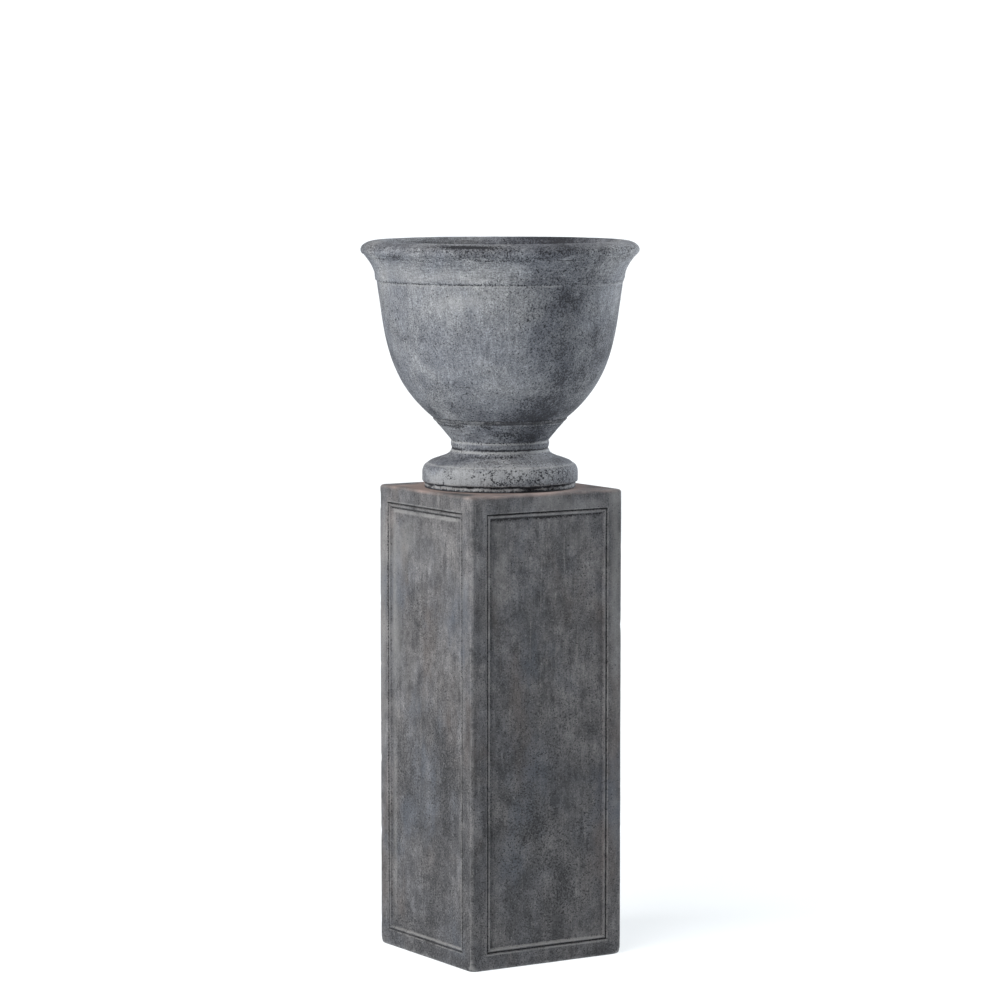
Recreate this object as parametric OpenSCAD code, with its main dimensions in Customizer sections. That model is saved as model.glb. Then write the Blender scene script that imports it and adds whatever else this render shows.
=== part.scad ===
// Garden urn on a tall panelled pedestal. Millimetres, +Z up.
// The origin is the centre of the pedestal's underside, and the pedestal's faces look along X and Y.

/* [Pedestal] */
// Width of the square pedestal, across two opposite faces
pedestal_w = 305; // [280:5:360]
// Height of the pedestal
pedestal_h = 808; // [500:4:1000]
// Wall thickness of the pedestal casting
pedestal_wall = 16; // [10:1:24]
// Thickness of the pedestal's top slab
pedestal_top_t = 20; // [12:1:36]
// Radius of the pedestal's four upright corners
corner_r = 5; // [2:0.5:12]
// Radius of the drain hole through the top slab
top_hole_r = 25; // [18:1:40]

/* [Panels] */
// Distance from the edge of a face to the frame's outer groove
frame_inset = 30.2; // [20:0.2:40]
// Width of each of the frame's two grooves
groove_w = 2.6; // [1.5:0.1:4]
// Depth of each groove
groove_d = 3.4; // [1.5:0.1:5]
// Width of the bead between the two grooves
bead_w = 6.8; // [4:0.2:9]
// How far the field inside the frame lies behind the face
field_d = 2.6; // [0.5:0.1:3.4]

/* [Bowl] */
// Largest radius of the bowl, at the tip of its lip
lip_r = 240; // [232:1:250]
// Height of the urn, from the pedestal's top to the crown of the lip
urn_h = 424.6; // [418:0.1:440]
// Wall thickness of the bowl
bowl_wall = 16; // [12:1:18]
// Thickness of the bowl's floor
floor_t = 14; // [10:1:18]
// Radius of the body where it meets the band under the lip
body_top_r = 212; // [208:1:214]
// Radius of the body where it meets the foot
body_base_r = 115; // [113:1:120]

/* [Foot] */
// Radius of the base disc
disc_r = 134.4; // [128:0.2:140]
// Radius of the neck at its waist
neck_r = 83; // [78:0.5:86]
// Radius of the foot's cup, where it carries the bowl
cup_r = 111.5; // [106:0.5:112.5]
// Height of the foot
foot_h = 115.5; // [112:0.5:120]
// Radius of the recess in the foot's underside
recess_r = 50; // [42:1:56]
// Depth of the recess
recess_h = 48; // [44:1:52]

/* [Drain and clamp] */
// Outer radius of the threaded drain tube
tube_r = 13; // [12:0.5:15]
// Inner radius of the drain tube
tube_bore_r = 10; // [6:0.5:10.5]
// Width of the clamp nut across its flats
nut_flats = 46; // [42:1:56]
// Radius of the steel washer under the foot's web
washer_r = 38; // [32:1:40]

/* [Hidden] */
$fn = 96;

// Heights below are above the pedestal's top slab, where the urn stands.
bed_t = 2;
bowl_z = foot_h + bed_t;
floor_z = bowl_z + floor_t;

// Thread clearances, radial
thread_gap = 0.1;
hole_gap = 1;

// Drain and clamp hardware, stacked from the bowl's floor down
seal_t = 3;
collar_t = 5;
collar_r = 30;
seal_r = 28;
washer_t = 4;
nut_t = 12;
tube_tail = 8;
tube_top_z = floor_z + seal_t + collar_t;
washer_top_z = recess_h - seal_t;
nut_top_z = washer_top_z - washer_t;
tube_base_z = nut_top_z - nut_t - tube_tail;

// Foot mouldings, from the ground up
ledge_h = 8.5;
ledge_r = disc_r - 4;
quirk_h = 1.5;
disc_side_z = 24;
disc_round = [8.4, 17];
fillet_z = [61, 64.8];
ring_z = [66.8, 78.6];
ring_bulge = 2.2;
cup_lip_h = 3;

// Bowl mouldings
band_z = urn_h - 69;
band_step = 2.4;
cavetto_r = 78.7;
cavetto_centre = [lip_r + 49.9, urn_h - 80.5];
cavetto_a = [161.2, 132.2];
lip_round = [27, 16];
lip_inner = 14;
rim_drop = 14;

// Points of a cubic Bezier curve, from t0 to t1, in n steps
function bezier_at(p, t) =
    pow(1 - t, 3) * p[0] + 3 * pow(1 - t, 2) * t * p[1]
    + 3 * (1 - t) * t * t * p[2] + pow(t, 3) * p[3];
function bezier(p, n, t0 = 0, t1 = 1) =
    [for (i = [0:n]) bezier_at(p, t0 + (t1 - t0) * i / n)];

// Points of an elliptical arc about a centre, from angle a0 to a1
function arc(c, r, a0, a1, n) =
    [for (i = [0:n]) let (a = a0 + (a1 - a0) * i / n) c + [r[0] * cos(a), r[1] * sin(a)]];

// The curve of the bowl's body, from the foot up to the band
body_curve = [[body_base_r, bowl_z + 2],
              [197, bowl_z + 68.3],
              [197, bowl_z + 143],
              [body_top_r, band_z]];

// The same curve moved inward by the wall thickness
function inward(p, t, d) =
    let (e = 0.001)
    let (v = bezier_at(p, min(t + e, 1)) - bezier_at(p, max(t - e, 0)))
    bezier_at(p, t) + d * [-v[1], v[0]] / norm(v);

module at_urn() {
    translate([0, 0, pedestal_h]) children();
}

module square_ring(inset, w, d) {
    outer_w = pedestal_w - 2 * inset;
    outer_h = pedestal_h - 2 * inset;
    difference() {
        cube([outer_w, d, outer_h], center = true);
        cube([outer_w - 2 * w, 2 * d, outer_h - 2 * w], center = true);
    }
}

// What is cut from one face: two grooves with the bead between them, and the sunk field
module panel_cut() {
    inner_inset = frame_inset + groove_w + bead_w;
    field_inset = inner_inset + groove_w / 2;
    square_ring(frame_inset, groove_w, 2 * groove_d);
    square_ring(inner_inset, groove_w, 2 * groove_d);
    cube([pedestal_w - 2 * field_inset, 2 * field_d, pedestal_h - 2 * field_inset], center = true);
}

module rounded_prism(w, h, r) {
    translate([-w / 2, r - w / 2, 0]) cube([w, w - 2 * r, h]);
    translate([r - w / 2, -w / 2, 0]) cube([w - 2 * r, w, h]);
    for (x = [-1, 1], y = [-1, 1])
        translate([x * (w / 2 - r), y * (w / 2 - r), 0]) cylinder(h = h, r = r);
}

// One casting: four walls and the top slab, open underneath
module pedestal_shell() {
    inside_w = pedestal_w - 2 * pedestal_wall;
    inside_h = pedestal_h - pedestal_top_t;
    color("dimgray") difference() {
        rounded_prism(pedestal_w, pedestal_h, corner_r);
        translate([-inside_w / 2, -inside_w / 2, -1]) cube([inside_w, inside_w, inside_h + 1]);
        translate([0, 0, inside_h - 1]) cylinder(h = pedestal_top_t + 2, r = top_hole_r);
        for (a = [0:90:270])
            rotate([0, 0, a]) translate([0, -pedestal_w / 2, pedestal_h / 2]) panel_cut();
    }
}

// The turned outline of the foot: ledge, base disc, ogee, fillet, neck ring and cup
module foot() {
    arris = [disc_r - disc_round[0], disc_side_z + disc_round[1]];
    ogee = [arris, [arris[0] - 6.5, arris[1] + 9], [neck_r + 8, fillet_z[0] - 10.5], [neck_r + 1, fillet_z[0]]];
    ring_c = [neck_r, (ring_z[0] + ring_z[1]) / 2];
    ring_half = (ring_z[1] - ring_z[0]) / 2;
    cup = [[neck_r + 0.4, ring_z[1]], [neck_r + 6, ring_z[1] + 8],
           [cup_r - 11, foot_h - 13.5], [cup_r - 1.5, foot_h - cup_lip_h]];
    outline = concat(
        [[tube_r + hole_gap, recess_h], [recess_r, recess_h], [recess_r, 0],
         [ledge_r, 0], [ledge_r, ledge_h], [ledge_r - 1, ledge_h], [ledge_r - 1, ledge_h + quirk_h],
         [disc_r - 0.8, ledge_h + quirk_h]],
        arc([arris[0], disc_side_z], disc_round, 0, 80, 10),
        bezier(ogee, 14),
        [[neck_r + 1, fillet_z[1]], [neck_r - 1, fillet_z[1] + 0.5], [neck_r - 1, ring_z[0]]],
        arc(ring_c, [ring_bulge, ring_half], -75, 75, 10),
        bezier(cup, 10),
        [[cup_r, foot_h - cup_lip_h / 2], [cup_r - 0.8, foot_h], [tube_r + hole_gap, foot_h]]);
    color("slategray") at_urn() rotate_extrude() polygon(outline);
}

// The bowl's outer curve, band, cavetto and rolled lip, and its inner wall and floor
module bowl() {
    drain_r = tube_r + hole_gap;
    crown = [lip_r - lip_round[0], urn_h - lip_round[1]];
    wall_r = crown[0] - lip_inner;
    inner_steps = 26;
    outline = concat(
        [[drain_r, bowl_z], [body_base_r - 1.5, bowl_z]],
        bezier(body_curve, 30),
        [[body_top_r + band_step, band_z + 1.2]],
        arc(cavetto_centre, [cavetto_r, cavetto_r], cavetto_a[0], cavetto_a[1], 10),
        arc(crown, lip_round, -12, 90, 17),
        arc(crown, [lip_inner, lip_round[1]], 100, 180, 8),
        [[wall_r, crown[1] - rim_drop]],
        [for (i = [0:inner_steps]) inward(body_curve, 0.98 - 0.95 * i / inner_steps, bowl_wall)],
        [[collar_r + 8, floor_z], [drain_r, floor_z]]);
    color("lightslategray") at_urn() rotate_extrude() polygon(outline);
}

module washer(z, r, t, hole_r) {
    at_urn() translate([0, 0, z]) difference() {
        cylinder(h = t, r = r);
        translate([0, 0, -1]) cylinder(h = t + 2, r = hole_r);
    }
}

// Thin bed of mortar between the foot's cup and the bowl
module bedding_joint() {
    color("gray") washer(foot_h, cup_r - 3, bed_t, tube_r + 2 * hole_gap);
}

// Hollow tube that ties the bowl to the foot and drains the bowl
module drain_tube() {
    color("goldenrod") washer(tube_base_z, tube_r, tube_top_z - tube_base_z, tube_bore_r);
}

// Round flanged nut on the tube's upper end, inside the bowl, with a wrench groove across it
module drain_collar() {
    slot_w = 6;
    slot_d = 2;
    color("goldenrod") difference() {
        washer(floor_z + seal_t, collar_r, collar_t, tube_r + thread_gap);
        at_urn() for (a = [0:60:120]) rotate([0, 0, a])
            translate([-collar_r - 1, -slot_w / 2, tube_top_z - slot_d])
                cube([2 * collar_r + 2, slot_w, slot_d + 1]);
    }
}

module collar_seal() {
    color("black") washer(floor_z, seal_r, seal_t, tube_r + hole_gap);
}

module clamp_seal() {
    color("black") washer(washer_top_z, washer_r - 2, seal_t, tube_r + hole_gap);
}

module clamp_washer() {
    color("silver") washer(nut_top_z, washer_r, washer_t, tube_r + hole_gap / 2);
}

module clamp_nut() {
    color("silver") at_urn() translate([0, 0, nut_top_z - nut_t]) difference() {
        cylinder(h = nut_t, r = nut_flats / 2 / cos(30), $fn = 6);
        translate([0, 0, -1]) cylinder(h = nut_t + 2, r = tube_r + thread_gap);
    }
}

pedestal_shell();
foot();
bowl();
bedding_joint();
drain_tube();
drain_collar();
collar_seal();
clamp_seal();
clamp_washer();
clamp_nut();
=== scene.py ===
"""A weathered cast-stone garden urn on its panelled pedestal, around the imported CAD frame."""
import math

import bpy
import numpy as np
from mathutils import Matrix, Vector


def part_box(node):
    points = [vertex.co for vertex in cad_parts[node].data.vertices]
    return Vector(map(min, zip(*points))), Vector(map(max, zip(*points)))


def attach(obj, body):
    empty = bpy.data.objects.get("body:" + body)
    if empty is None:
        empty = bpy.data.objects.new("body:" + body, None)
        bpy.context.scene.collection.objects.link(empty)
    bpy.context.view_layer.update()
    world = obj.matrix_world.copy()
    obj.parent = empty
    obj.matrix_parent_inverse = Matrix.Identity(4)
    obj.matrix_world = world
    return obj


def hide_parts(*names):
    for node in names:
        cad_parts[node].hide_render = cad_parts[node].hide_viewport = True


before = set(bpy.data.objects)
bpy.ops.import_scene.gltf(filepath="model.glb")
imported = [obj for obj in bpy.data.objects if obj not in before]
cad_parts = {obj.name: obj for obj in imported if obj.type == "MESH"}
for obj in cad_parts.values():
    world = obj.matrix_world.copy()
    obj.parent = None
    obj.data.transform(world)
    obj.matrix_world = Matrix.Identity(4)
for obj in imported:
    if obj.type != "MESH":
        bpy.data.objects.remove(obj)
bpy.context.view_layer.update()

MM = 0.001

# The CAD model's own boxes
PEDESTAL_LOW, PEDESTAL_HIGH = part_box("pedestal_shell")
FOOT_LOW, FOOT_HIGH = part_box("foot")
BOWL_LOW, BOWL_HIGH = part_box("bowl")
BED_LOW, BED_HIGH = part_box("bedding_joint")

# The camera stands in front of the corner between the pedestal's -X and -Y faces.
VIEW_AZIMUTH = math.radians(-32.13)
VIEW_DISTANCE = 6.942
VIEW_HEIGHT = 1.4473
VIEW_PITCH = math.radians(5.455)
VIEW_LENS = 145.5

# What the studio gives from all round, and how bright its backdrop shows
SKY = 0.12
BACKDROP = 1.2


# ---------------------------------------------------------------- repeatable noise
# Each use has a seed of its own, so that no pattern shows twice.

def cell_value(cells, seed):
    """A number from 0 to 1 for each integer cell."""
    x, y, z = (cells[..., k].astype(np.int64) for k in range(3))
    mixed = (x * 374761393 + y * 668265263 + z * 1440662683 + seed * 974634777) & 0xFFFFFFFF
    mixed = ((mixed ^ (mixed >> 13)) * 1274126177) & 0xFFFFFFFF
    mixed = ((mixed ^ (mixed >> 16)) * 1103515245) & 0xFFFFFFFF
    return ((mixed ^ (mixed >> 15)) & 0xFFFFFF) / float(0x1000000)


def value_noise(points, size, seed):
    """Smooth noise from -1 to 1, whose lumps are about size across."""
    scaled = points / size
    base = np.floor(scaled)
    part = scaled - base
    part = part * part * (3 - 2 * part)
    total = np.zeros(points.shape[:-1])
    for corner in np.ndindex(2, 2, 2):
        corner = np.array(corner)
        weight = np.where(corner == 1, part, 1 - part).prod(-1)
        total += weight * cell_value(base + corner, seed)
    return 2 * total - 1


def fractal(points, size, seed, octaves=4, gain=0.5):
    """Noise with finer and weaker layers added."""
    total, weight, reach = 0, 1, 0
    for k in range(octaves):
        total = total + weight * value_noise(points, size / 2 ** k, seed + 31 * k)
        reach += weight
        weight *= gain
    return total / reach


def pits(points, size, seed, share, smallest=0.25, largest=0.55):
    """Depth from 0 to 1 of round pits, one in each chosen cell of a grid of the given size."""
    scaled = points / size
    base = np.floor(scaled)
    depth = np.zeros(points.shape[:-1])
    for step in np.ndindex(3, 3, 3):
        cell = base + np.array(step) - 1
        spot = np.stack([cell_value(cell, seed + k) for k in range(3)], -1)
        radius = smallest + (largest - smallest) * cell_value(cell, seed + 3) ** 2
        there = cell_value(cell, seed + 4) < share
        away = np.linalg.norm(scaled - cell - spot, axis=-1) / radius
        depth = np.maximum(depth, there * np.clip(1 - away ** 2, 0, 1) * radius / largest)
    return depth


def smooth(low, high, x):
    """0 up to low, 1 from high on, and a soft step between them; low may be the larger."""
    t = np.clip((x - low) / (high - low), 0, 1)
    return t * t * (3 - 2 * t)


# ---------------------------------------------------------------- outlines

def line(a, b, steps):
    """Points from a to b, both ends among them."""
    t = np.linspace(0, 1, steps + 1)[:, None]
    return (1 - t) * np.array(a, float) + t * np.array(b, float)


def arc(centre, radii, start, end, steps):
    """Points of an ellipse between two angles in degrees."""
    a = np.radians(np.linspace(start, end, steps + 1))
    return np.stack([centre[0] + radii[0] * np.cos(a), centre[1] + radii[1] * np.sin(a)], -1)


def bezier(points, steps):
    """Points of a cubic curve."""
    p = np.array(points, float)
    t = np.linspace(0, 1, steps + 1)[:, None]
    s = 1 - t
    return s ** 3 * p[0] + 3 * s ** 2 * t * p[1] + 3 * s * t ** 2 * p[2] + t ** 3 * p[3]


def joined(*stretches):
    """One outline from several stretches, without the points that they share."""
    points = np.concatenate(stretches)
    gap = np.linalg.norm(points - np.roll(points, 1, 0), axis=1)
    return points[gap > 1e-6]


# ---------------------------------------------------------------- meshes on closed grids

def grid_normals(points):
    """Outward unit normals of a grid that closes on itself both ways."""
    across = np.roll(points, -1, 1) - np.roll(points, 1, 1)
    along = np.roll(points, -1, 0) - np.roll(points, 1, 0)
    normal = np.cross(across, along)
    return normal / np.maximum(np.linalg.norm(normal, axis=-1, keepdims=True), 1e-12)


def convexity(points, normals, reach):
    """How far each point stands out of its neighbourhood, in metres."""
    blurred = points
    for axis in (0, 1):
        blurred = sum(np.roll(blurred, k, axis) for k in range(-reach, reach + 1)) / (2 * reach + 1)
    return ((points - blurred) * normals).sum(-1)


def grid_piece(name, points, masks):
    """A closed mesh from a grid of points, with a float attribute for each mask."""
    rows, columns = points.shape[:2]
    index = np.arange(rows * columns).reshape(rows, columns)
    right = np.roll(index, -1, 1)
    faces = np.stack([index, right, np.roll(right, -1, 0), np.roll(index, -1, 0)], -1).reshape(-1, 4)
    mesh = bpy.data.meshes.new(name)
    mesh.from_pydata(points.reshape(-1, 3).tolist(), [], faces.tolist())
    mesh.polygons.foreach_set("use_smooth", np.ones(len(faces), bool))
    for mask, values in masks.items():
        attribute = mesh.attributes.new(mask, "FLOAT", "POINT")
        attribute.data.foreach_set("value", values.astype(np.float32).ravel())
    mesh.update()
    piece = bpy.data.objects.new(name, mesh)
    bpy.context.scene.collection.objects.link(piece)
    return piece


def worn(points, reach, amount):
    """Rounds the outline's arrises over and fills its quirks, by an amount from 0 to 1."""
    blurred = sum(np.roll(points, k, 0) for k in range(-reach, reach + 1)) / (2 * reach + 1)
    return points + (blurred - points) * np.asarray(amount)[..., None]


def turned_grid(outline, columns):
    """Points of an outline of (radius, height) swept round Z."""
    a = np.linspace(0, 2 * math.pi, columns, endpoint=False)
    radius = outline[:, 0:1]
    height = np.repeat(outline[:, 1:2], columns, 1)
    return np.stack([radius * np.cos(a), radius * np.sin(a), height], -1)


def view_side(points):
    """Degrees round Z from the camera's side: positive to the camera's right."""
    a = np.degrees(np.arctan2(points[..., 1], points[..., 0]))
    front = math.degrees(math.atan2(-math.cos(VIEW_AZIMUTH), math.sin(VIEW_AZIMUTH)))
    return (a - front + 180) % 360 - 180


def relief_masks(points, normals, reach, fine):
    """Wear on what stands out, and grime with painted shade in what lies back, both broken up."""
    stands = convexity(points, normals, reach)
    broken = 0.45 + 0.55 * smooth(-0.35, 0.35, fractal(points, 16 * MM, 211, 3))
    return {"wear": np.clip(stands / fine, 0, 1), "grime_and_shade": np.clip(-stands / fine, 0, 1) * broken}


def spots(across, up, points, places):
    """Soft patches, each (across, up, half width, half height, amount), with wandering outlines."""
    across = across + 0.04 * np.ptp(across) * fractal(points, 60 * MM, 223, 4)
    up = up + 24 * fractal(points + 1, 50 * MM, 227, 4)
    total = np.zeros(points.shape[:-1])
    for x, y, wide, tall, amount in places:
        total += amount * np.exp(-((across - x) / wide) ** 2 - ((up - y) / tall) ** 2)
    return total


def dashes(points, place, at, wide, seed, share):
    """A thin line along a height, interrupted here and there: the less, the larger its share."""
    wander = fractal(points, 30 * MM, seed, 3)
    there = smooth(-share, 0.5 - share, fractal(points, 45 * MM, seed + 5, 4) + 0.25)
    return np.exp(-((place - at - wander * 0.8) / wide) ** 2) * there


def turned_lines(points, up, lines, seed):
    """Interrupted lines round the urn, each (height, half width, share, amount)."""
    total = np.zeros(up.shape)
    for at, wide, share, amount in lines:
        total += amount * dashes(points, up, at, wide, seed + int(at), share)
    return total


# ---------------------------------------------------------------- the urn

NECK_R = 83 * MM
CUP_R = 111.5 * MM
DISC_R = FOOT_HIGH.x
GROUND = FOOT_LOW.z
RECESS_R = 50 * MM
RECESS_H = 48 * MM
DRAIN_R = 14 * MM


def cast_surface(points, seed, wobble, grain):
    """How far a cast surface lies below its ideal shape."""
    wave = fractal(points, 90 * MM, seed, 3) * wobble
    lumps = fractal(points, 9 * MM, seed + 7, 3) * grain
    return wave + lumps - wobble * 0.5


def foot_outline():
    """Ledge, quirk, disc, ogee, fillet, double ring and cup, then the recess underneath."""
    top = FOOT_HIGH.z - GROUND
    ledge_r = DISC_R - 4 * MM
    arris = [DISC_R - 8.4 * MM, 41 * MM]
    return joined(
        line([RECESS_R, 0], [ledge_r - 1 * MM, 0], 26),
        line([ledge_r, 1 * MM], [ledge_r, 8 * MM], 8),
        line([ledge_r - 2 * MM, 8.7 * MM], [ledge_r - 2 * MM, 9.6 * MM], 1),
        line([DISC_R - 1.6 * MM, 10.2 * MM], [DISC_R - 0.4 * MM, 11.6 * MM], 2),
        line([DISC_R, 13 * MM], [DISC_R, 24 * MM], 10),
        arc([arris[0], 24 * MM], [8.4 * MM, 17 * MM], 3, 84, 20),
        bezier([[arris[0] - 0.8 * MM, arris[1] + 1 * MM], [arris[0] - 7 * MM, arris[1] + 9 * MM],
                [NECK_R + 9 * MM, 52 * MM], [NECK_R + 2.4 * MM, 61.8 * MM]], 36),
        arc([NECK_R + 0.6 * MM, 64.0 * MM], [1.6 * MM, 2.3 * MM], -30, 80, 6),
        line([NECK_R - 1.0 * MM, 66.8 * MM], [NECK_R - 1.2 * MM, 67.8 * MM], 1),
        line([NECK_R + 0.4 * MM, 68.6 * MM], [NECK_R + 1.4 * MM, 70.6 * MM], 2),
        line([NECK_R + 1.9 * MM, 72.9 * MM], [NECK_R + 2.0 * MM, 77.0 * MM], 4),
        arc([NECK_R + 0.6 * MM, 77.8 * MM], [1.5 * MM, 2.1 * MM], 0, 80, 5),
        bezier([[NECK_R + 0.5 * MM, 80.8 * MM], [NECK_R + 6.5 * MM, 88 * MM],
                [CUP_R - 11 * MM, 102 * MM], [CUP_R - 1.2 * MM, 112.2 * MM]], 28),
        line([CUP_R, 113.6 * MM], [CUP_R - 0.6 * MM, top], 2),
        line([CUP_R - 4 * MM, top], [DRAIN_R, top], 14),
        line([DRAIN_R, top - 4 * MM], [DRAIN_R, RECESS_H + 4 * MM], 6),
        line([DRAIN_R, RECESS_H], [RECESS_R - 4 * MM, RECESS_H], 6),
        line([RECESS_R, RECESS_H - 4 * MM], [RECESS_R, 4 * MM], 8),
    ) + [0, GROUND]


# (degrees to the right of the camera's side, height, half width, half height, amount).
# An amount below 0 is paler.
# The pale patches at -45 and -5 degrees on the disc and at 5 degrees on the ogee are painted light.
FOOT_STAINS_AND_SHADING = [(38, 90, 26, 20, 1.3), (-20, 106, 80, 8, 0.1), (-40, 98, 30, 10, -0.3),
               (42, 72, 26, 8, 0.3), (-40, 56, 22, 8, 0.5), (-12, 58, 16, 6, 0.5),
               (60, 24, 40, 12, 0.15), (40, 20, 30, 16, -0.3), (-45, 26, 30, 16, -1.0),
               (-5, 24, 34, 14, -0.8), (70, 52, 18, 10, -0.4), (5, 52, 30, 6, -0.3),
               (24, 4, 8, 6, 0.9), (-68, 4, 8, 5, 0.8), (170, 90, 50, 30, 0.8),
               (-140, 40, 30, 20, 0.6)]


# Dark lines along the foot's turned lines: grime, with painted shade in the quirks at 9.4 and 68 and a
# painted contact shadow at the ground.
# Pale lips: wear, with painted highlights on the rings at 64 and 79.6. Each (height, half width,
# share, amount)
FOOT_GRIME_AND_SHADE = [(68.0, 1.3, 0.3, 0.9), (9.4, 1.2, 0.3, 0.5), (110, 5, 0.2, 0.6), (97, 7, 0.0, 0.5),
              (57, 3, 0.2, 0.5), (49, 3, 0.0, 0.4), (0.2, 1.9, 0.8, 2.0)]
FOOT_PALE = [(64.0, 2.6, 0.5, 1.1), (79.6, 2.2, 0.4, 0.8), (41.5, 1.6, 0.3, 0.8), (5.2, 2.4, 0.4, 1.0)]


def foot_pits(points, height, side):
    """Small pits everywhere, and larger ones in the porous patches of the disc."""
    patchy = smooth(-0.25, 0.35, fractal(points, 40 * MM, 5, 2))
    small = pits(points, 3.6 * MM, 3, 0.6) * patchy
    disc = 1 - smooth(41 * MM, 47 * MM, height)
    porous = disc * (0.45 + 0.55 * smooth(-30, -5, side) * smooth(75, 50, side))
    porous = porous * smooth(-0.5, 0.2, fractal(points, 22 * MM, 29, 3))
    rough = pits(points, 4.4 * MM, 23, 0.7, 0.25, 0.6) * porous
    return small, rough, porous


def torn_ledge(points, height, side):
    """The ledge under the disc wanders in and out and has pieces missing."""
    ledge = 1 - smooth(8 * MM, 9.4 * MM, height)
    tear = smooth(0.15, 0.75, fractal(points * [1, 1, 0.3], 26 * MM, 47, 3))
    broken = np.exp(-((side - 24) / 6.5) ** 2) + 0.7 * np.exp(-((side + 68) / 5) ** 2)
    depth = ledge * (1.6 * MM * tear + 3.4 * MM * np.clip(broken, 0, 1))
    return depth + ledge * 2.2 * MM * (0.4 + fractal(points, 9 * MM, 53, 3))


def make_foot():
    outline = foot_outline()
    points = turned_grid(outline, 440)
    top = FOOT_HIGH.z - GROUND
    height = points[..., 2] - GROUND
    radius = np.hypot(points[..., 0], points[..., 1])
    soft = 0.45 + 0.55 * smooth(-0.4, 0.3, fractal(points, 34 * MM, 17, 3))
    soft = soft * smooth(70 * MM, 76 * MM, radius)
    points = worn(points, 3, soft * smooth(12 * MM, 40 * MM, height))
    normals = grid_normals(points)
    outside = smooth(60 * MM, 75 * MM, radius) * smooth(0, 3 * MM, height)
    outside = outside * (1 - smooth(top - 1.5 * MM, top, height))
    side = view_side(points)

    base = cast_surface(points, 11, 0.5 * MM, 0.22 * MM)
    small, rough, porous = foot_pits(points, height, side)
    depth = 0.7 * MM * small + 1.15 * MM * rough + torn_ledge(points, height, side)
    lip = np.exp(-((height / MM - 9) / 3.5) ** 2) * (radius > 100 * MM)
    points[..., 2] += lip * 1.3 * MM * fractal(points * [1, 1, 0], 24 * MM, 57, 4)
    # Arrises are knocked off here and there.
    chips = smooth(0.35, 0.7, fractal(points, 14 * MM, 61, 3))
    edge = np.clip(convexity(points, normals, 3) / (0.6 * MM), 0, 1)
    depth = depth + chips * edge * 1.1 * MM
    points = points + normals * ((base - depth) * outside)[..., None]

    masks = relief_masks(points, grid_normals(points), 3, 0.8 * MM)
    up = height / MM
    skin = radius > 80 * MM
    speckle = 0.4 + 0.6 * smooth(41, 47, up)
    speckle = speckle * smooth(-0.35, 0.3, fractal(points, 30 * MM, 63, 3))
    # Grime lines, with painted shade in the quirks and a painted contact shadow at the ground, and
    # dark specks
    masks["grime_and_shade"] += skin * turned_lines(points, up, FOOT_GRIME_AND_SHADE, 311) + 0.26 * speckle * outside
    # Pale lips: wear, with painted highlights on the rings
    masks["pale"] = skin * turned_lines(points, up, FOOT_PALE, 331)
    masks["turned"] = smooth(45, 52, up) * outside
    masks["pitted"] = np.clip(small + rough, 0, 1)
    masks["porous"] = porous
    # Stains, with painted light on the front of the disc and the ogee
    masks["stain_and_shading"] = spots(side, up, points, FOOT_STAINS_AND_SHADING)
    piece = grid_piece("urn_foot", points, masks)
    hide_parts("foot")
    return piece


def bowl_outline():
    """Body, band, cavetto, rolled lip, then the inner wall and the floor down to the drain."""
    low = BOWL_LOW.z
    band = BOWL_HIGH.z - 69 * MM
    lip_r = BOWL_HIGH.x
    crown = [lip_r - 27 * MM, BOWL_HIGH.z - 16.2 * MM]
    wall_r = crown[0] - 14 * MM
    floor = low + 14 * MM
    body = np.array([[115 * MM, low + 2 * MM], [197 * MM, low + 68.3 * MM],
                     [197 * MM, low + 143 * MM], [212 * MM, band - 1.6 * MM]])
    wall = np.array([[112 * MM, low + 20.5 * MM], [181 * MM, low + 82 * MM],
                     [183 * MM, low + 150 * MM], [195.5 * MM, band]])
    cavetto = [lip_r + 49.9 * MM, BOWL_HIGH.z - 80.5 * MM]
    return joined(
        line([DRAIN_R, low], [109 * MM, low], 12),
        line([113 * MM, low + 0.2 * MM], [114.2 * MM, low + 1.2 * MM], 2),
        bezier(body, 92),
        line([211 * MM, band - 0.9 * MM], [211 * MM, band - 0.2 * MM], 1),
        line([213.6 * MM, band + 0.3 * MM], [214.6 * MM, band + 1.6 * MM], 1),
        line([214.8 * MM, band + 3 * MM], [215.4 * MM, band + 12.4 * MM], 4),
        arc(cavetto, [78.7 * MM, 78.7 * MM], 161.2, 136.5, 14),
        line([233.0 * MM, BOWL_HIGH.z - 25.6 * MM], [234.2 * MM, BOWL_HIGH.z - 23.8 * MM], 1),
        arc(crown, [26.8 * MM, 16 * MM], -24, 92, 36),
        arc(crown, [14 * MM, 16 * MM], 98, 180, 12),
        line([wall_r, crown[1] - 4 * MM], [wall_r, crown[1] - 16 * MM], 3),
        bezier(wall[::-1], 46),
        bezier([[108 * MM, low + 18 * MM], [100 * MM, low + 14.6 * MM],
                [70 * MM, low + 14.2 * MM], [38 * MM, floor]], 14),
        line([32 * MM, floor], [DRAIN_R, floor], 3),
        line([DRAIN_R, floor - 3 * MM], [DRAIN_R, low + 3 * MM], 2),
    )


# The dark strips at -84 and 82 degrees are painted shade along the bowl's silhouettes.
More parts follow.
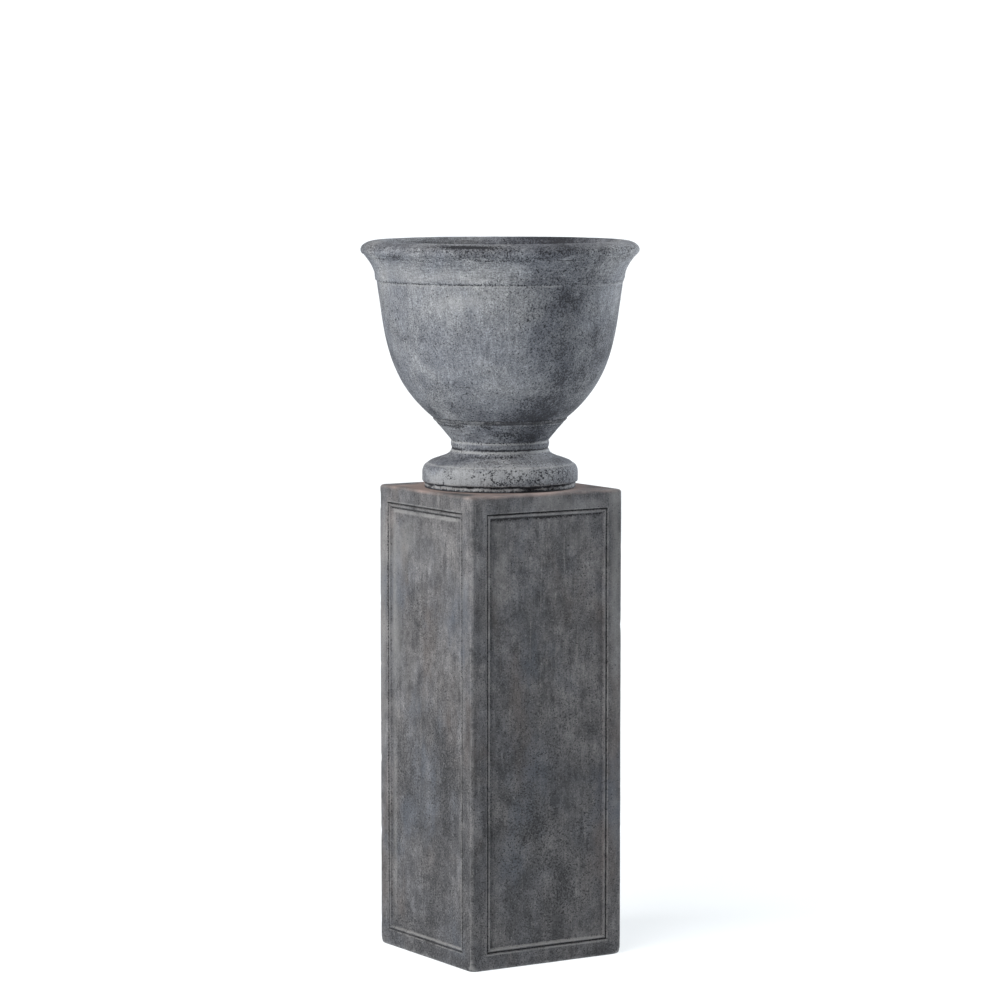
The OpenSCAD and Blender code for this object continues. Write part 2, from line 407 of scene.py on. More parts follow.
BOWL_STAINS_AND_SHADE = [(37, 216, 9, 18, 0.4), (26, 200, 12, 16, 0.3), (36, 32, 20, 16, 0.5),
               (52, 56, 14, 24, 0.35), (28, 96, 12, 24, -0.15), (66, 105, 13, 70, 0.65),
               (-56, 165, 14, 20, 0.3), (-24, 154, 40, 20, 0.22), (-2, 205, 8, 16, 0.25),
               (-56, 22, 22, 14, 0.5), (-50, 120, 24, 80, 0.12), (64, 140, 10, 40, 0.2),
               (-40, 66, 26, 16, 0.35), (35, 262, 20, 18, 0.15), (-3, 292, 12, 8, 0.4),
               (-8, 226, 6, 8, 0.3), (30, 300, 40, 12, 0.2), (-30, 300, 50, 8, 0.3),
               (-19, 212, 18, 20, -0.7), (-60, 258, 30, 14, -0.5), (-29, 84, 14, 16, -0.45),
               (46, 12, 28, 12, 0.55), (-50, 42, 26, 20, 0.3), (-20, 262, 20, 12, -0.45),
               (8, 262, 14, 14, -0.5), (-2, 140, 16, 40, -0.25), (-50, 101, 12, 18, -0.35),
               (-84, 130, 7, 100, 0.45), (82, 130, 9, 90, 0.55), (66, 228, 9, 16, -0.35),
               (50, 190, 8, 20, -0.2), (33, 150, 8, 14, -0.25), (7, 84, 10, 18, -0.45),
               (160, 180, 40, 50, 0.5), (-120, 110, 30, 30, 0.45), (110, 240, 22, 30, 0.4),
               (-170, 60, 30, 30, 0.5)]


# Grime lines round the bowl, with a painted shadow under the lip's roll at 278.6 and 284 and painted
# shade under the bowl's bottom edge at 1.5: (height, half width, share, amount)
BOWL_GRIME_AND_SHADE = [(238.2, 1.4, 0.3, 0.6), (278.6, 2.2, 0.1, 0.7), (284, 4, 0.0, 0.5),
              (264, 6, -0.2, 0.35), (1.5, 2.0, 0.4, 0.8), (296, 6, 0.2, 0.5)]


def make_bowl():
    outline = bowl_outline()
    points = turned_grid(outline, 380)
    height = points[..., 2] - BOWL_LOW.z
    radius = np.hypot(points[..., 0], points[..., 1])
    side = view_side(points)
    band = smooth(225 * MM, 232 * MM, height) * (radius > 205 * MM)
    rubbed = smooth(-0.3, 0.35, fractal(points, 60 * MM, 67, 3) + 0.5 * smooth(-30, 40, side) - 0.1)
    rim = smooth(4 * MM, 2 * MM, height) * (radius > 105 * MM)
    points = worn(points, 3, band * (0.25 + 0.75 * rubbed) + 0.8 * rim)
    normals = grid_normals(points)
    shown = smooth(40 * MM, 60 * MM, radius) * smooth(0, 2 * MM, height)
    base = cast_surface(points, 71, 0.6 * MM, 0.16 * MM)
    patch = smooth(-0.1, 0.6, fractal(points, 70 * MM, 73, 2))
    small = pits(points, 8 * MM, 79, 0.4, 0.2, 0.42) * patch
    depth = 0.6 * MM * small
    chips = smooth(0.4, 0.75, fractal(points, 18 * MM, 83, 3))
    edge = np.clip(convexity(points, normals, 2) / (0.5 * MM), 0, 1)
    depth = depth + chips * edge * 0.9 * MM
    points = points + normals * ((base - depth) * shown)[..., None]
    masks = relief_masks(points, grid_normals(points), 2, 1.6 * MM)
    up = height / MM
    outer = (np.arange(len(outline)) <= outline[:, 1].argmax())[:, None]
    # Grime lines, with a painted shadow under the lip's roll and painted shade under the bowl's bottom
    # edge
    masks["grime_and_shade"] += outer * turned_lines(points, up, BOWL_GRIME_AND_SHADE, 411)
    masks["grime_and_shade"] += 1.9 * outer * np.exp(-((up - 301.8) / 2.4) ** 2 - ((side + 13) / 11) ** 2)
    # Painted highlights on the ridge under the band and on the bowl's bottom arris
    masks["pale"] = 0.8 * outer * dashes(points, up, 235.4, 1.8, 431, 0.2)
    masks["pale"] += 0.3 * outer * dashes(points, up, 3.0, 2.2, 433, 0.0)
    masks["turned"] = smooth(236, 242, up)
    masks["pitted"] = small
    # Stains, with painted shade along the silhouettes, and painted shade darkening the bowl's bottom
    masks["stain_and_shading"] = spots(side, up, points, BOWL_STAINS_AND_SHADE) + 0.3 * (1 - smooth(10, 50, up))
    # Painted shade on the side turned from the key
    masks["stain_and_shading"] += 0.6 * np.exp(-((side - 30) / 22) ** 2)
    # The far inside of the lip, which shows over the near edge, is painted in shade on the right.
    masks["stain_and_shading"] += 1.3 * ~outer * smooth(270, 298, up) * np.exp(-((side - 148) / 30) ** 2)
    piece = grid_piece("urn_bowl", points, masks)
    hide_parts("bowl")
    return piece


def make_bedding():
    """The mortar squeezed out between the foot and the bowl."""
    low, high = BED_LOW.z, BED_HIGH.z
    outline = joined(
        line([16 * MM, low], [CUP_R - 3 * MM, low], 10),
        line([CUP_R - 1.2 * MM, low - 1.4 * MM], [CUP_R + 0.6 * MM, low - 1.0 * MM], 3),
        line([CUP_R + 2.0 * MM, low + 0.4 * MM], [CUP_R + 3.4 * MM, high + 0.4 * MM], 3),
        line([CUP_R + 4.0 * MM, high + 1.8 * MM], [CUP_R + 3.6 * MM, high + 2.6 * MM], 2),
        line([CUP_R - 1 * MM, high + 0.4 * MM], [16 * MM, high], 10),
    )
    points = turned_grid(outline, 360)
    radius = np.hypot(points[..., 0], points[..., 1])
    squeezed = fractal(points, 9 * MM, 97, 3) * 0.9 * MM * smooth(CUP_R - 4 * MM, CUP_R, radius)
    points[..., :2] *= (1 + squeezed / radius)[..., None]
    # Darker on the side turned from the key: painted shade on the joint
    piece = grid_piece("bedding_mortar", points, {"stain_and_shading": smooth(-35, 15, view_side(points))})
    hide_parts("bedding_joint")
    return piece


# ---------------------------------------------------------------- the pedestal

# The frame moulding, as (distance from the face's edge, depth), in millimetres: a narrow groove,
# a bead, and a second groove that runs out slowly into the field
MOULDING = [(28.2, 0), (29.6, 0.15), (30.4, 1.0), (31.1, 3.2), (31.7, 3.9), (32.3, 3.2), (33.2, 1.5),
            (34.2, 0.6), (35.2, 0.35), (36.3, 0.7), (37.2, 1.6), (38.0, 3.1), (38.8, 4.5), (39.5, 4.8),
            (40.6, 4.6), (44.0, 3.9), (48.0, 3.3), (53.0, 3.0)]
BEAD_AT = 35.2 * MM
# Half the width over which the groove changes at a corner of the frame
MITRE = 8 * MM
# The bottom rail is a little narrower than the others.
BOTTOM_LESS = 1.6 * MM
# For each face, how much wider its margins are than the moulding's places: (left, top)
MARGIN_MORE = {0: (1.0 * MM, 0.0), 3: (-2.2 * MM, -1.3 * MM)}
LEFT, RIGHT, BOTTOM, TOP = range(4)
# (faces, side, distance from the side in mm, half width, amount): dark lines of grime and painted
# shade in the moulding's grooves, with a painted shadow under the top rail's bead; pale lines of wear
# and painted highlights on the beads
DARK_LINES = [((0, 1, 2), TOP, 40.5, 3.0, 1.0), ((0, 1, 2, 3), TOP, 31.6, 1.5, 0.9),
              ((3,), TOP, 39.4, 1.7, 1.0), ((3,), LEFT, 31.6, 1.8, 1.1),
              ((3,), RIGHT, 31.2, 2.1, 1.5), ((0, 1, 2), LEFT, 31.7, 1.2, 0.35),
              ((0, 1, 2), RIGHT, 31.7, 1.4, 0.5), ((0, 1, 2, 3), BOTTOM, 31.7, 1.4, 0.4)]
# Mostly painted highlights on the beads' upturned slopes, with some wear
PALE_LINES = [((0, 1, 2), BOTTOM, 28.2, 1.5, 0.8), ((0, 1, 2), BOTTOM, 37.0, 1.8, 2.2),
              ((3,), BOTTOM, 37.0, 1.7, 0.8), ((3,), TOP, 44.0, 3.4, 1.0),
              ((3,), LEFT, 50.0, 8.0, 0.5), ((3,), RIGHT, 35.4, 1.4, 0.4),
              ((0,), TOP, 35.4, 1.4, 0.5)]
EDGE_R = 6 * MM
BOTTOM_R = 4 * MM
TOP_R = 5 * MM
WALL_T = 16 * MM
SLAB_T = 20 * MM
TOP_HOLE_R = 25 * MM
# The last rings, which lie in the hole and inside the walls
INNER_RINGS = 35


def spread(start, end, step):
    """Evenly spaced stations between two places, without the ends."""
    count = max(int(round((end - start) / step)), 2)
    return list(np.linspace(start, end, count + 1)[1:-1])


def stations(length, step, less=0.0):
    """Stations across a face: the stile, the moulding, the field, and the same in reverse.

    The first stile is narrower than the last by the given amount."""
    marks = [m[0] * MM for m in MOULDING]
    marks = [marks[0] - 3.4 * MM, marks[0] - 1.7 * MM] + marks
    early = [m - less for m in marks]
    first = [EDGE_R] + spread(EDGE_R, early[0], 5 * MM) + early
    last = [EDGE_R] + spread(EDGE_R, marks[0], 5 * MM) + marks
    field = spread(early[-1], length - marks[-1], step)
    return np.array(first + field + [length - s for s in last[::-1]])


def margins(face, u, v, width, height):
    """Distances of a face's points from the sides of its frame: left, right, bottom and top."""
    left, top = (sum(np.where(face == number, more[k], 0) for number, more in MARGIN_MORE.items())
                 for k in (0, 1))
    u, v = np.broadcast_arrays(u, v)
    return np.stack([u - left, width - u, v + BOTTOM_LESS, height - v - top])


def moulding_depth(face, sides):
    """Depth of the framed panel.

    The second groove is shallower along the right and the bottom, and along the left of face 3."""
    marks = np.array(MOULDING) * MM
    place = sides.min(0)
    depth = np.interp(place, marks[:, 0], marks[:, 1])
    field = marks[-1, 1]
    far = np.minimum(sides[LEFT], sides[TOP]) - np.minimum(sides[RIGHT], sides[BOTTOM])
    full = smooth(-MITRE, MITRE, far)
    full = np.maximum(full, (face == 3) * smooth(-MITRE, MITRE, sides[TOP] - sides[LEFT]))
    return depth - np.where((place > BEAD_AT) & (depth > field), 0.55 * (depth - field), 0) * full


def frame_lines(lines, face, sides):
    """Thin lines that follow the sides of the frame."""
    place = sides.min(0) / MM
    which = sides.argmin(0)
    total = np.zeros(place.shape)
    for faces, side, at, wide, amount in lines:
        total += np.isin(face, faces) * (which == side) * amount * np.exp(-((place - at) / wide) ** 2)
    return total


def pedestal_columns():
    """Stations round the square, each with its face, its place across it and its turn at a corner."""
    width = PEDESTAL_HIGH.x - PEDESTAL_LOW.x
    columns = []
    for face in range(4):
        wider = MARGIN_MORE.get(face, (0, 0))[0]
        columns += [(face, u, 0.0) for u in stations(width, 5.8 * MM, -wider)]
        columns += [(face, width - EDGE_R, turn) for turn in (15.0, 30.0, 45.0, 60.0, 75.0)]
    return width, np.array(columns)


def pedestal_ring(columns, width, inset, corner):
    """Points of one ring of the pedestal, inset from its faces, with corners of the given radius."""
    face, u, turn = columns.T
    a = np.radians(turn)
    half = width / 2
    reach = half - EDGE_R
    along = np.where(turn > 0, reach, u - half)
    scale = (half - inset - corner) / reach
    x = along * scale + np.where(turn > 0, corner * np.sin(a), 0)
    y = -(half - inset - corner) - corner * np.cos(a)
    spin = face * math.pi / 2
    return np.stack([x * np.cos(spin) - y * np.sin(spin), x * np.sin(spin) + y * np.cos(spin)], -1)


# For each face: (distance from its left edge, height, half width, half height, amount)
PEDESTAL_STAINS = {
    0: [(60, 690, 30, 40, -0.2), (170, 430, 60, 90, 0.2), (70, 360, 30, 80, 0.15),
        (240, 250, 30, 50, 0.15), (60, 60, 40, 60, -0.2), (20, 400, 14, 300, -0.1),
        (200, 20, 110, 12, -0.2), (100, 520, 40, 30, 0.2), (190, 790, 120, 16, -0.55),
        (292, 640, 12, 240, -0.7), (292, 240, 12, 200, -0.4), (60, 690, 8, 120, -0.3),
        (35, 745, 35, 25, -0.35), (190, 730, 30, 35, -0.3), (140, 620, 40, 55, -0.1),
        (240, 625, 30, 30, 0.15), (165, 470, 18, 50, -0.3), (91, 340, 20, 80, 0.25),
        (128, 235, 26, 85, 0.3), (190, 315, 22, 45, -0.3), (32, 590, 24, 50, -0.25),
        (197, 275, 18, 30, -0.45), (108, 446, 24, 20, 0.25), (117, 311, 14, 20, 0.2),
        (42, 272, 12, 16, 0.3), (40, 150, 22, 30, -0.25), (241, 507, 14, 20, -0.25),
        (228, 735, 25, 25, -0.2), (191, 430, 12, 16, 0.25), (117, 605, 14, 30, -0.25),
        (142, 216, 12, 14, -0.3), (142, 126, 12, 14, 0.3), (248, 199, 20, 16, -0.3),
        (92, 88, 14, 16, -0.3), (18, 318, 10, 14, -0.3), (216, 608, 12, 16, 0.25),
        (275, 190, 30, 90, -0.3), (235, 50, 40, 24, -0.8), (190, 140, 22, 40, 0.35),
        (30, 165, 25, 40, -0.35)],
    3: [(6, 400, 22, 440, -0.7), (155, 700, 130, 70, -0.25), (55, 700, 40, 40, -0.4),
        (128, 595, 32, 50, 0.4), (215, 500, 16, 200, 0.15), (262, 380, 20, 60, 0.3),
        (45, 420, 30, 60, -0.2), (185, 330, 20, 120, 0.2), (60, 290, 30, 50, 0.2),
        (125, 430, 25, 60, -0.15), (245, 650, 30, 60, -0.1), (155, 120, 80, 60, 0.1),
        (75, 160, 30, 40, -0.15), (260, 225, 7, 75, -0.9), (228, 310, 24, 85, 0.6),
        (82, 190, 20, 70, -0.25), (62, 540, 26, 80, -0.45), (95, 735, 26, 24, -0.4),
        (268, 305, 22, 40, 0.3), (190, 390, 22, 60, 0.25), (110, 300, 24, 28, 0.3),
        (83, 405, 18, 30, 0.35), (100, 105, 30, 40, -0.35), (285, 640, 15, 30, -0.25),
        (49, 575, 14, 60, -0.35), (114, 505, 18, 40, -0.45), (212, 262, 12, 34, 0.7),
        (212, 420, 14, 50, 0.25), (70, 270, 34, 70, 0.12), (120, 624, 14, 24, 0.3),
        (84, 478, 14, 20, -0.3), (148, 436, 14, 20, -0.3), (180, 597, 12, 30, 0.3),
        (212, 600, 12, 30, -0.2), (242, 195, 12, 30, -0.3), (272, 490, 12, 16, 0.35)],
    1: [(90, 600, 50, 60, 0.3), (220, 400, 40, 90, 0.3), (150, 200, 60, 60, 0.2),
        (60, 300, 30, 60, -0.2)],
    2: [(200, 620, 50, 70, 0.3), (80, 420, 40, 90, 0.25), (170, 180, 60, 60, 0.3),
        (230, 300, 30, 60, -0.2)],
}


def corner_r(z):
    """The corners are rounder where they meet the ground."""
    return EDGE_R + 5 * MM * (1 - smooth(0, 13 * MM, z))


def quarter(steps):
    """Steps of the quarter turn that rounds an edge of radius 1: how far in, and how far along."""
    turns = [math.radians(18 * k) for k in range(steps)]
    return [(1 - math.sin(a), 1 - math.cos(a)) for a in turns]


def pedestal_rings(columns, width, height):
    """Rings from the ground up the outside, over the top, through the hole and down the inside.

    Returns their points, and which rings lie on the four upright faces."""
    rings, upright = [], []

    def add(xy, z, outer=False):
        rings.append(np.column_stack([xy, np.full(len(xy), z)]))
        upright.append(outer)

    def square(inset, corner):
        return pedestal_ring(columns, width, inset, corner)

    for across, up in quarter(5):
        z = BOTTOM_R * up
        add(square(BOTTOM_R * across, corner_r(z)), z)
    for z in stations(height, 6.2 * MM, BOTTOM_LESS):
        if BOTTOM_R <= z <= height - TOP_R:
            add(square(0, corner_r(z)), z, outer=True)
    for across, up in quarter(6):
        add(square(TOP_R * up, EDGE_R), height - TOP_R * across)
    # The top closes from the square to the drain hole.
    edge = square(TOP_R, EDGE_R)
    angle = np.arctan2(edge[:, 1], edge[:, 0])
    hole = TOP_HOLE_R * np.stack([np.cos(angle), np.sin(angle)], -1)
    for t in np.linspace(0, 1, 24)[1:]:
        add(edge * (1 - t) + hole * t, height)
    for t in (0.3, 0.7, 1.0):
        add(hole, height - SLAB_T * t)
    inner = square(WALL_T + 6 * MM, 3 * MM)
    for t in (0.25, 0.5, 0.75, 1.0):
        add(hole * (1 - t) + inner * t, height - SLAB_T)
    add(square(WALL_T + 1.8 * MM, 5 * MM), height - SLAB_T - 1.8 * MM)
    for z in np.linspace(height - SLAB_T - 6 * MM, 3 * MM, 26):
        add(square(WALL_T, 6 * MM), z)
    add(square(WALL_T - 3 * MM, 6 * MM), 0)
    add(square(BOTTOM_R + 2 * MM, 6 * MM), 0)
    return np.stack(rings), np.array(upright)[:, None]


def weathered_pedestal(points, relief, height):
    """The pedestal's points with its panels sunk, its surface cast uneven and its arrises chipped.

    Returns the points and the depth of its pits."""
    normals = grid_normals(points)
    z = points[..., 2]
    inside = (np.arange(len(points)) >= len(points) - INNER_RINGS)[:, None]
    level = (np.abs(z - height) < 1e-6) | (z < 1e-6)
    base = cast_surface(points, 101, 0.5 * MM, 0.12 * MM)
    patchy = smooth(0, 0.6, fractal(points, 60 * MM, 107, 2))
    small = pits(points, 9 * MM, 103, 0.35, 0.18, 0.4) * patchy
    edge = np.clip(convexity(points, normals, 4) / (0.9 * MM), 0, 1)
    chips = smooth(0.3, 0.7, fractal(points, 22 * MM, 109, 3))
    depth = relief + 0.5 * MM * small + chips * edge * 0.9 * MM
    move = np.where(inside, base, base - depth)
    move = np.where(level, np.minimum(0.25 * base, 0), move)
    points = points + normals * move[..., None]
    # Hand-cut lines wander a little.
    drift = np.stack([fractal(points + 5 * k, 60 * MM, 113 + k, 2) for k in range(3)], -1) * 0.3 * MM
    drift -= normals * (drift * normals).sum(-1, keepdims=True)
    return points + np.where(level[..., None], 0, drift), small


def make_pedestal():
    width, columns = pedestal_columns()
    height = PEDESTAL_HIGH.z - PEDESTAL_LOW.z
    face, u, turn = columns.T
    points, upright = pedestal_rings(columns, width, height)
    z = points[..., 2]
    sides = margins(face, u, z, width, height)
    framed = upright & (turn == 0)
    relief = np.where(framed, moulding_depth(face, sides), 0)
    points, small = weathered_pedestal(points, relief, height)

    masks = relief_masks(points, grid_normals(points), 2, 0.9 * MM)
    masks["pitted"] = 0.35 * small
    up = z / MM
    across = np.broadcast_to(u / MM, up.shape)
    masks["stain_and_shading"] = np.zeros(up.shape)
    for number, places in PEDESTAL_STAINS.items():
        masks["stain_and_shading"] += (face == number) * spots(across, up, points, places)
    # Each face is darker towards the bottom, the left face most.
    masks["stain_and_shading"] += np.where(face == 3, 0.62, 0.45) * (1 - smooth(0, 640, up))
    broken = 0.55 + 0.45 * smooth(-0.4, 0.2, fractal(points, 40 * MM, 251, 4))
    # Grime and painted shade in the grooves, and a painted shadow under the top rail's bead
    masks["grime_and_shade"] += framed * broken * frame_lines(DARK_LINES, face, sides)
    # Painted highlights on the beads, with some wear
    masks["pale"] = framed * broken * frame_lines(PALE_LINES, face, sides)
    # The top is rusty, most of all round the urn's foot.
    top = smooth(height / MM - 7, height / MM - 1, up)
    near_foot = np.exp(-((np.hypot(points[..., 0], points[..., 1]) / MM - 138) / 16) ** 2)
    patches = 1.1 * fractal(points, 34 * MM, 241, 4)
    masks["rust"] = top * np.clip(0.3 + 0.7 * near_foot + patches, 0, 1)
    piece = grid_piece("pedestal_casting", points, masks)
    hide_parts("pedestal_shell")
    return piece


# ---------------------------------------------------------------- materials

class Graph:
    """Short calls for building one material's nodes."""

    def __init__(self, name):
        self.material = bpy.data.materials.new(name)
        self.material.use_nodes = True
        self.tree = self.material.node_tree
        self.shader = self.tree.nodes["Principled BSDF"]
        place = self.tree.nodes.new("ShaderNodeTexCoord")
        self.place = place.outputs["Object"]

    def link(self, value, socket):
        if isinstance(value, bpy.types.NodeSocket):
            self.tree.links.new(value, socket)
        else:
            socket.default_value = value

    def node(self, kind, **settings):
        made = self.tree.nodes.new(kind)
        for key, value in settings.items():
            setattr(made, key, value)
        return made

    def stretch(self, factors, shift=(0, 0, 0)):
        made = self.node("ShaderNodeMapping")
        self.link(self.place, made.inputs["Vector"])
        made.inputs["Scale"].default_value = factors
        made.inputs["Location"].default_value = shift
        return made.outputs["Vector"]

    def noise(self, scale, detail=4.0, rough=0.5, vector=None, warp=0.0):
        made = self.node("ShaderNodeTexNoise")
        self.link(vector or self.place, made.inputs["Vector"])
        made.inputs["Scale"].default_value = scale
        made.inputs["Detail"].default_value = detail
        made.inputs["Roughness"].default_value = rough
        made.inputs["Distortion"].default_value = warp
        return made.outputs["Fac"]

    def cells(self, scale):
        made = self.node("ShaderNodeTexVoronoi")
        self.link(self.place, made.inputs["Vector"])
        made.inputs["Scale"].default_value = scale
        return made.outputs["Distance"]

    def mask(self, name):
        made = self.node("ShaderNodeAttribute", attribute_name=name)
        return made.outputs["Fac"]

    def math(self, operation, a, b=0.0):
        made = self.node("ShaderNodeMath", operation=operation)
        self.link(a, made.inputs[0])
        self.link(b, made.inputs[1])
        return made.outputs[0]

    def within(self, value, low, high, out_low=0.0, out_high=1.0):
        made = self.node("ShaderNodeMapRange", interpolation_type="SMOOTHSTEP")
        self.link(value, made.inputs["Value"])
        made.inputs["From Min"].default_value = low
        made.inputs["From Max"].default_value = high
        made.inputs["To Min"].default_value = out_low
        made.inputs["To Max"].default_value = out_high
        return made.outputs["Result"]

    def ramp(self, value, stops):
        made = self.node("ShaderNodeValToRGB")
        self.link(value, made.inputs["Fac"])
        elements = made.color_ramp.elements
        while len(elements) < len(stops):
            elements.new(0.5)
        for element, (position, colour) in zip(elements, stops):
            element.position = position
            element.color = (*colour, 1)
        return made.outputs["Color"]

    def mix(self, fac, a, b, blend="MIX"):
        made = self.node("ShaderNodeMix", data_type="RGBA", blend_type=blend)
        self.link(fac, made.inputs["Factor"])
        for value, name in ((a, "A"), (b, "B")):
            socket = [s for s in made.inputs if s.name == name and s.type == "RGBA"][0]
            self.link((*value, 1) if isinstance(value, tuple) and len(value) == 3 else value, socket)
        return [s for s in made.outputs if s.type == "RGBA"][0]

    def bump(self, height, strength, distance, after=None):
        made = self.node("ShaderNodeBump")
        self.link(height, made.inputs["Height"])
        made.inputs["Strength"].default_value = strength
        made.inputs["Distance"].default_value = distance
        if after is not None:
            self.link(after, made.inputs["Normal"])
        return made.outputs["Normal"]

    def finish(self, colour, roughness, normal=None, metallic=0.0):
        self.link(colour, self.shader.inputs["Base Color"])
        self.link(roughness, self.shader.inputs["Roughness"])
        self.shader.inputs["Metallic"].default_value = metallic
        if normal is not None:
            self.link(normal, self.shader.inputs["Normal"])
        return self.material


def weather(g, colour, grain, grime_and_shade_colour, pale_colour, stain_and_shade_colour):
    """Stains with painted shade and painted light, pits, grime and painted shade in the hollows, pale
    lines that are partly painted highlights, and worn arrises over a stone's own colour.
    """
    fine = g.noise(330.0, 2.0, 0.65, g.stretch((1, 1, 1), (7, 3, 5)))
    smoke = g.within(g.noise(17.0, 8.0, 0.72, warp=0.4), 0.28, 0.72)
    # This mask holds stains, and also painted shade and painted light.
    stain_and_shading = g.mask("stain_and_shading")
    broken = g.math("MULTIPLY", stain_and_shading, g.math("ADD", g.math("MULTIPLY", smoke, 0.8), 0.6))
    dark = g.math("ADD", broken, g.math("MULTIPLY", smoke, 0.30))
    colour = g.mix(g.within(dark, 0.0, 1.5, 0.0, 0.9), colour, stain_and_shade_colour)
    colour = g.mix(g.within(stain_and_shading, -0.9, -0.05, 0.5, 0.0), colour, pale_colour)
    dotted = g.math("ADD", g.math("MULTIPLY", dark, 0.16), g.math("SUBTRACT", fine, 0.5))
    colour = g.mix(g.within(dotted, 0.10, 0.24, 0.0, 0.85), colour, grime_and_shade_colour)
    flecks = g.within(g.noise(340.0, 2.0, 0.6, g.stretch((1, 1, 1), (4, 9, 2))), 0.60, 0.70)
    colour = g.mix(g.math("MULTIPLY", flecks, 0.35), colour, pale_colour)
    pitted = g.math("MULTIPLY", g.within(g.mask("pitted"), 0.10, 0.4), 0.92)
    colour = g.mix(pitted, colour, grime_and_shade_colour)
    gathered = g.within(g.noise(70.0, 3.0), 0.42, 0.52)
    holes = g.math("MULTIPLY", g.within(g.cells(350.0), 0.50, 0.36), gathered)
    colour = g.mix(g.math("MULTIPLY", holes, g.mask("porous")), colour, grime_and_shade_colour)
    rubbed = g.within(g.noise(60.0, 4.0), 0.32, 0.6)
    wear = g.math("MULTIPLY", g.within(g.mask("wear"), 0.2, 1.0), rubbed)
    colour = g.mix(g.math("MULTIPLY", wear, 0.5), colour, pale_colour)
    uneven = g.within(grain, 0.25, 0.55, 0.6, 1.0)
    pale = g.math("MULTIPLY", g.within(g.mask("pale"), 0.05, 1.0), uneven)
    colour = g.mix(g.math("MULTIPLY", pale, 0.8), colour, pale_colour)
    # Grime, and painted shade in the hollows, grooves and quirks
    scattered = g.math("MULTIPLY", g.math("SUBTRACT", fine, 0.5), 3.4)
    lodged_and_shaded = g.math("ADD", g.mask("grime_and_shade"), scattered)
    return g.mix(g.within(lodged_and_shaded, 0.30, 0.95, 0.0, 0.95), colour, grime_and_shade_colour)


def urn_stone():
    """Blue-grey cement with clouds of dark stain, a brushed grain, specks and worn arrises."""
    g = Graph("urn_stone")
    cloud = g.noise(8.0, 6.0, 0.62, warp=0.4)
    colour = g.ramp(cloud, [(0.30, (0.120, 0.130, 0.155)), (0.48, (0.180, 0.190, 0.211)),
                            (0.66, (0.246, 0.253, 0.264))])
    mottle = g.noise(42.0, 5.0, 0.7)
    mottled = g.ramp(mottle, [(0.30, (0.60, 0.60, 0.62)), (0.70, (1.38, 1.38, 1.37))])
    colour = g.mix(0.55, colour, mottled, "MULTIPLY")
    streaks = g.noise(1.0, 5.0, 0.65, g.stretch((180, 180, 12)))
    brushed = g.ramp(streaks, [(0.30, (0.52, 0.52, 0.55)), (0.70, (1.42, 1.42, 1.40))])
    colour = g.mix(0.6, colour, brushed, "MULTIPLY")
    grain = g.noise(400.0, 3.0, 0.75)
    grained = g.ramp(grain, [(0.32, (0.30, 0.30, 0.33)), (0.50, (1.0, 1.0, 1.0)),
                             (0.68, (1.75, 1.75, 1.72))])
    colour = g.mix(0.8, colour, grained, "MULTIPLY")
    rings = g.noise(1.0, 5.0, 0.7, g.stretch((46, 46, 300)))
    lines = g.ramp(rings, [(0.34, (0.40, 0.40, 0.43)), (0.50, (0.95, 0.95, 0.96)),
                           (0.68, (1.4, 1.4, 1.38))])
    colour = g.mix(g.math("MULTIPLY", g.mask("turned"), 0.7), colour, lines, "MULTIPLY")
    colour = weather(g, colour, grain, grime_and_shade_colour=(0.014, 0.015, 0.020),
                     pale_colour=(0.345, 0.352, 0.360), stain_and_shade_colour=(0.040, 0.044, 0.060))
    rough = g.within(grain, 0.3, 0.7, 0.95, 0.75)
    normal = g.bump(grain, 0.6, 1.0 * MM)
    normal = g.bump(streaks, 0.2, 0.8 * MM, normal)
    return g.finish(colour, rough, normal)


